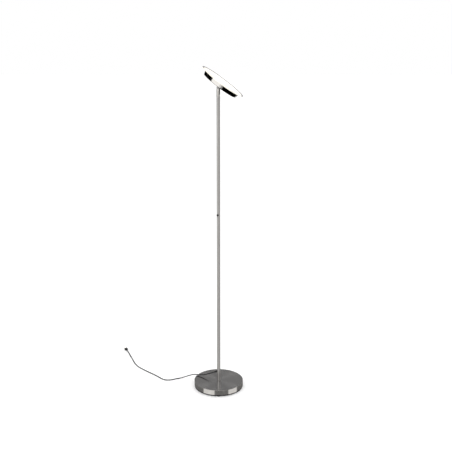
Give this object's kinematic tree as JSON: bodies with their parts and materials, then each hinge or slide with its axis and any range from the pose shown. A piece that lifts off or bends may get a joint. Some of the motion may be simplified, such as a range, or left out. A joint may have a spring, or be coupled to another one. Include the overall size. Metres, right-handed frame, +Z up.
{
  "type": "torchiere floor lamp",
  "caption": "Slim uplight floor lamp: round weighted steel base, straight tube pole with push-button dimmer, and a flat LED disc head that tilts at the pole's top.",
  "frame": {"origin": "on the floor under the centre of the round base", "axes": "+Z up along the pole, the head tilts about +Y and leans towards +X at rest"},
  "size_m": [0.7558, 0.6721, 1.8683],
  "materials": {
    "black_rubber": "matt moulded rubber",
    "black_plastic": "satin moulded black plastic",
    "cast_iron": "rough cast",
    "zinc_steel": "bright zinc plate",
    "turned_steel": "stainless sheet, brushed in circles on top and polished on the side",
    "satin_nickel": "satin nickel plate, brushed along the tube",
    "polished_nickel": "polished nickel plate",
    "white_plastic": "moulded white plastic",
    "board_green": "green solder mask",
    "board_white": "white solder mask",
    "spring_steel": "bright spring steel",
    "plain_aluminium": "mill finish sheet",
    "led_yellow": "phosphor resin",
    "clear_acrylic": "clear polished acrylic",
    "opal_acrylic": "opal acrylic, lit from inside",
    "black_pvc": "satin PVC",
    "plated_brass": "nickel-plated brass"
  },
  "bodies": {
    "stand": {"foot_pads": "black_rubber", "base_tray": "black_plastic", "base_weight": "cast_iron", "tray_screws": "zinc_steel", "base_washer": "zinc_steel", "base_bolt": "zinc_steel", "base_hub": "zinc_steel", "base_cover": "turned_steel", "pole_insert": "zinc_steel", "pole_bottom": "satin_nickel", "pole_lower": "satin_nickel", "pole_upper": "satin_nickel", "pole_top": "satin_nickel", "coupler_bottom": "zinc_steel", "coupler_middle": "zinc_steel", "coupler_top": "zinc_steel", "cord_gland": "black_rubber", "dimmer_bezel": "black_plastic", "dimmer_housing": "white_plastic", "dimmer_board": "board_green", "dimmer_switch": "black_plastic", "dimmer_spring": "spring_steel", "tilt_fork": "polished_nickel", "tilt_bolt": "polished_nickel", "tilt_nut": "polished_nickel", "friction_washers": "white_plastic", "mains_lead": "black_pvc", "head_lead": "black_pvc", "mains_cord": "black_pvc", "plug_body": "black_pvc", "plug_pins": "plated_brass"},
    "head": {"tilt_tongue": "polished_nickel", "tongue_rivets": "polished_nickel", "head_dish": "polished_nickel", "led_driver": "white_plastic", "terminal_block": "white_plastic", "plate_pillars": "zinc_steel", "led_plate": "plain_aluminium", "plate_screws": "zinc_steel", "led_board": "board_white", "led_chips": "led_yellow", "cover_clips": "spring_steel", "clear_rim": "clear_acrylic", "opal_cover": "opal_acrylic"},
    "button": {"dimmer_button": "black_plastic"}
  },
  "joints": [
    {"name": "head_tilt", "type": "hinge", "parent": "stand", "child": "head", "pos_m": [0, 0, 1.754], "axis": [0, 1, 0], "range_deg": [-81.4, 8.6]},
    {"name": "dimmer_press", "type": "slide", "parent": "stand", "child": "button", "axis": [0.5, 0.866, 0], "range_m": [0, 0.001], "stiffness_N_per_m": 1500, "springref_m": -0.0007, "deforming": ["dimmer_spring"]}
  ]
}
